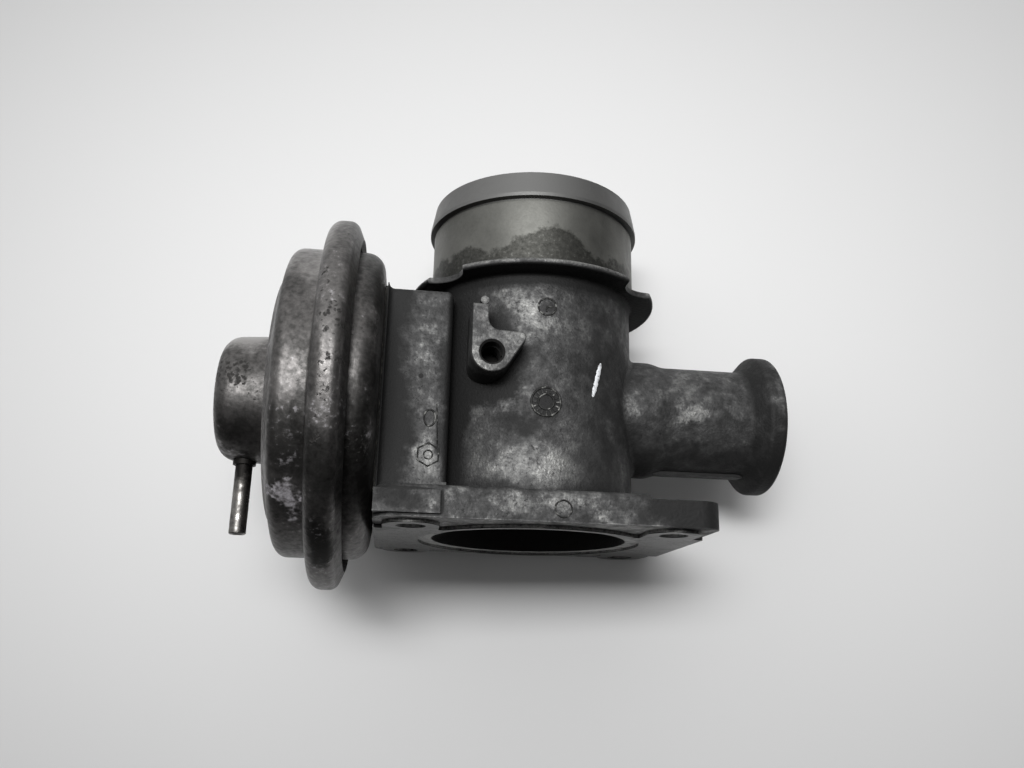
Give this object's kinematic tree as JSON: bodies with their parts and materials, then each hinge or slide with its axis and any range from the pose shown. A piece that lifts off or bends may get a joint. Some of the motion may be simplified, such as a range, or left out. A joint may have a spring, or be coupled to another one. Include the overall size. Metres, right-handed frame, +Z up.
{
  "type": "exhaust gas recirculation valve",
  "caption": "Vacuum-operated exhaust gas recirculation valve: cast air duct with bolt flange and hose spigot, side inlet pipe with clamp flange, and a round diaphragm actuator with a nipple",
  "frame": {"origin": "Centre of the four-bolt pattern and of the air duct, on the machined mounting face.", "axes": "+Z runs up the air duct to the hose spigot; +X runs along the valve stem to the exhaust inlet, away from the vacuum actuator; -Y is the side with the bracket lug."},
  "size_m": [0.138, 0.0904, 0.0998],
  "materials": {
    "cast_aluminium": "oxidised casting with soot",
    "seat_steel": "heat-resistant steel, turned",
    "guide_bronze": "sintered",
    "seal_graphite": "matt",
    "pressed_steel": "dull pressed steel",
    "gasket_fibre": "matt",
    "zinc_steel": "zinc plated",
    "bright_steel": "polished",
    "diaphragm_rubber": "fabric-reinforced",
    "spring_steel": "oiled",
    "seat_plastic": "moulded"
  },
  "bodies": {
    "valve_body": {"valve_housing": "cast_aluminium", "valve_seat": "seat_steel", "guide_bush": "guide_bronze", "stem_scraper": "seat_steel", "stem_seal": "seal_graphite", "seal_retainer": "pressed_steel", "soot_shield": "pressed_steel", "shell_gasket": "gasket_fibre", "lower_shell": "pressed_steel", "shell_screws": "zinc_steel", "upper_shell": "pressed_steel", "vacuum_nipple": "bright_steel", "diaphragm": "diaphragm_rubber", "return_spring": "spring_steel", "spring_seat": "seat_plastic"},
    "stem_group": {"valve_stem": "seat_steel", "valve_disc": "seat_steel", "backing_plate": "pressed_steel", "diaphragm_plate": "pressed_steel", "stem_washer": "zinc_steel", "stem_nut": "zinc_steel"}
  },
  "joints": [
    {"name": "valve_lift", "type": "slide", "parent": "valve_body", "child": "stem_group", "axis": [-1, 0, 0], "range_m": [0, 0.007], "stiffness_N_per_m": 6000, "springref_m": -0.005, "deforming": ["return_spring", "diaphragm"]}
  ]
}
